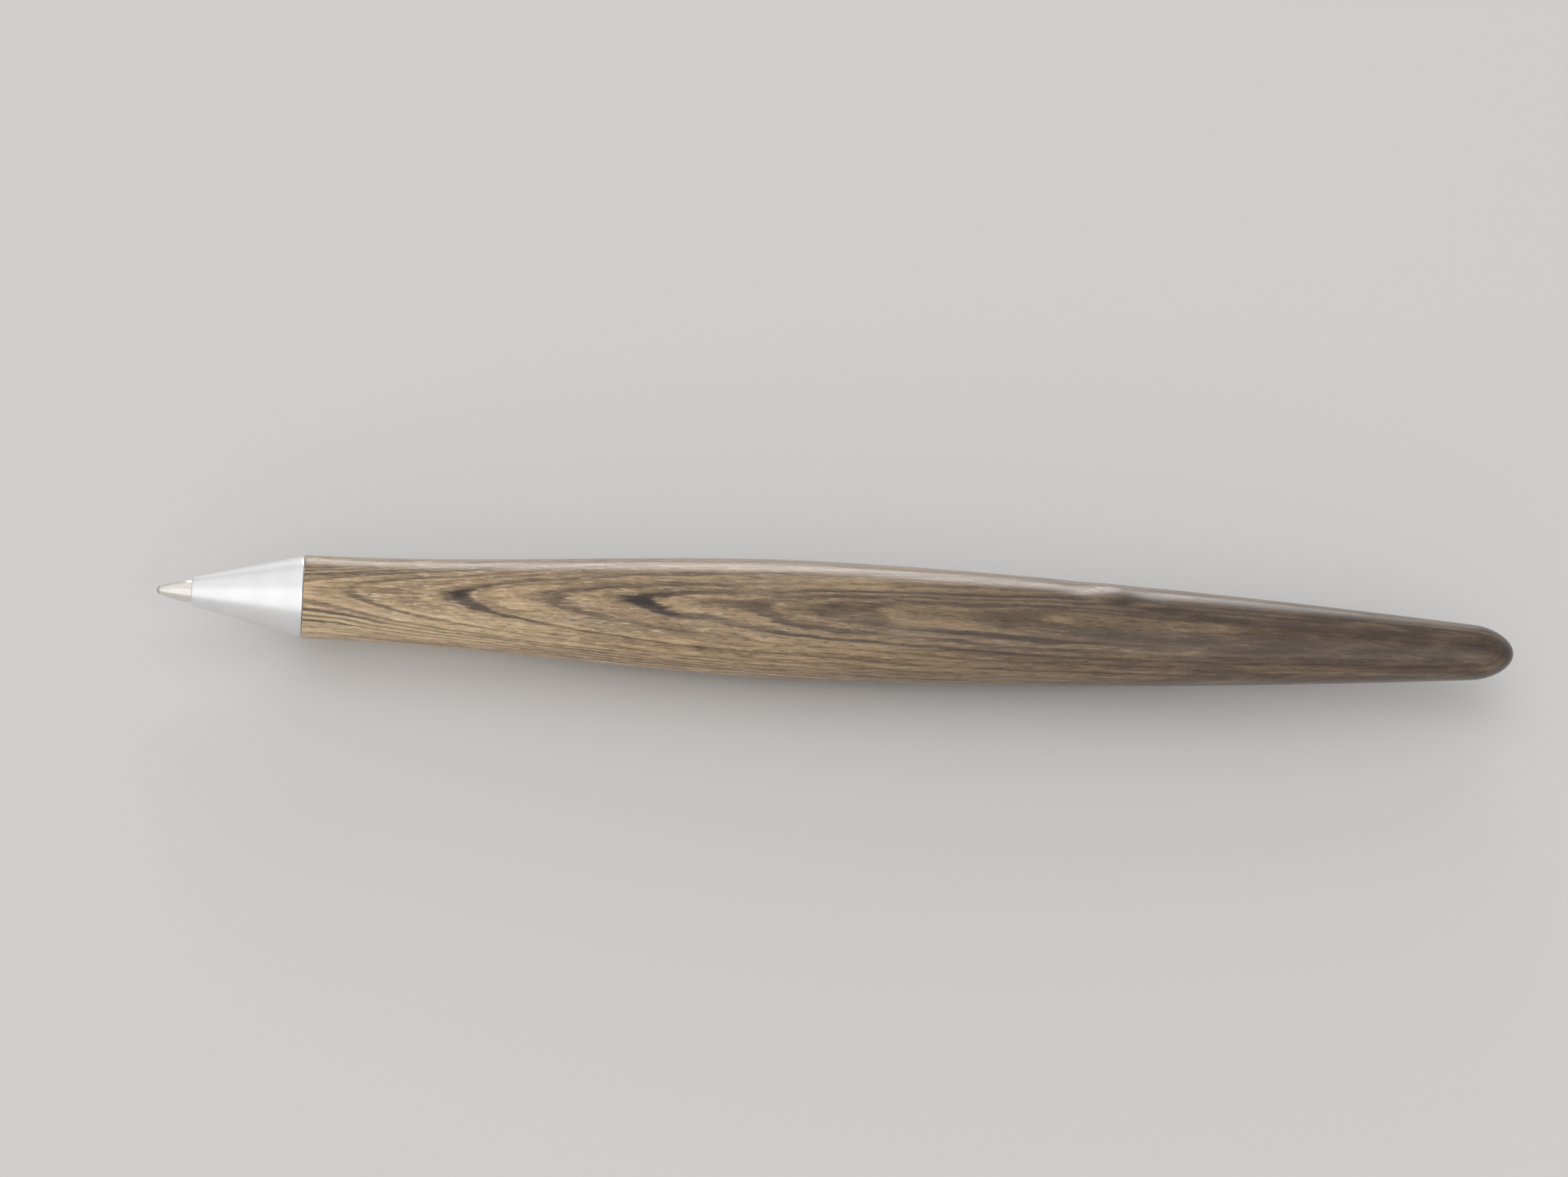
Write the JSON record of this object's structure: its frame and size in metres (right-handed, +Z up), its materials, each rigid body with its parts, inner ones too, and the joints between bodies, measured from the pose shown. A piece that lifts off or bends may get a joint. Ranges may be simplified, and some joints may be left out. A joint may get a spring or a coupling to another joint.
{
  "type": "ballpoint pen",
  "caption": "Slim cigar-shaped wooden ballpoint pen with a closed round tail and a metal nose cone that unscrews to change the refill.",
  "frame": {"origin": "underside of the belly at the middle of the pen's length, at stand_rest, where a stand or tray holds the pen", "axes": "+X runs from the ball to the tail along the pen, +Z is up, +Y is across"},
  "size_m": [0.145, 0.0126, 0.0127],
  "materials": {
    "turned_wood": "dark streaked hardwood, turned, sanded and wax polished",
    "liner_brass": "drawn tube, scuffed for glue",
    "bush_brass": "turned",
    "spring_steel": "drawn wire",
    "satin_chrome": "satin plate",
    "refill_steel": "drawn and plated",
    "nickel_silver": "turned, slightly warm",
    "carbide": "ground ball",
    "ink_paste": "wet paste",
    "follower_grease": "cloudy grease",
    "plug_plastic": "moulded"
  },
  "bodies": {
    "barrel": {"barrel": "turned_wood", "barrel_tube": "liner_brass", "thread_bush": "bush_brass", "spring_seat": "bush_brass", "refill_spring": "spring_steel"},
    "refill": {"refill_tube": "refill_steel", "refill_nose": "refill_steel", "ball_point": "nickel_silver", "ink": "ink_paste", "ink_follower": "follower_grease", "refill_plug": "plug_plastic"},
    "cone": {"nose_cone": "satin_chrome"},
    "ball": {"writing_ball": "carbide"}
  },
  "joints": [
    {"name": "refill_feed", "type": "slide", "parent": "barrel", "child": "refill", "axis": [-1, 0, 0], "range_m": [0, 0.004], "deforming": ["refill_spring"]},
    {"name": "cone_turn", "type": "hinge", "parent": "refill", "child": "cone", "pos_m": [-0.0575, 0, 0.00635], "axis": [-1, 0, 0], "range_deg": [0, 1440]},
    {"name": "ball_roll", "type": "hinge", "parent": "refill", "child": "ball", "pos_m": [-0.07215, 0, 0.00635], "axis": [0, 1, 0], "continuous": true}
  ],
  "couplings": [
    {"joint": "cone_turn", "follows": "refill_feed", "rad_per_m": 6283.2}
  ]
}
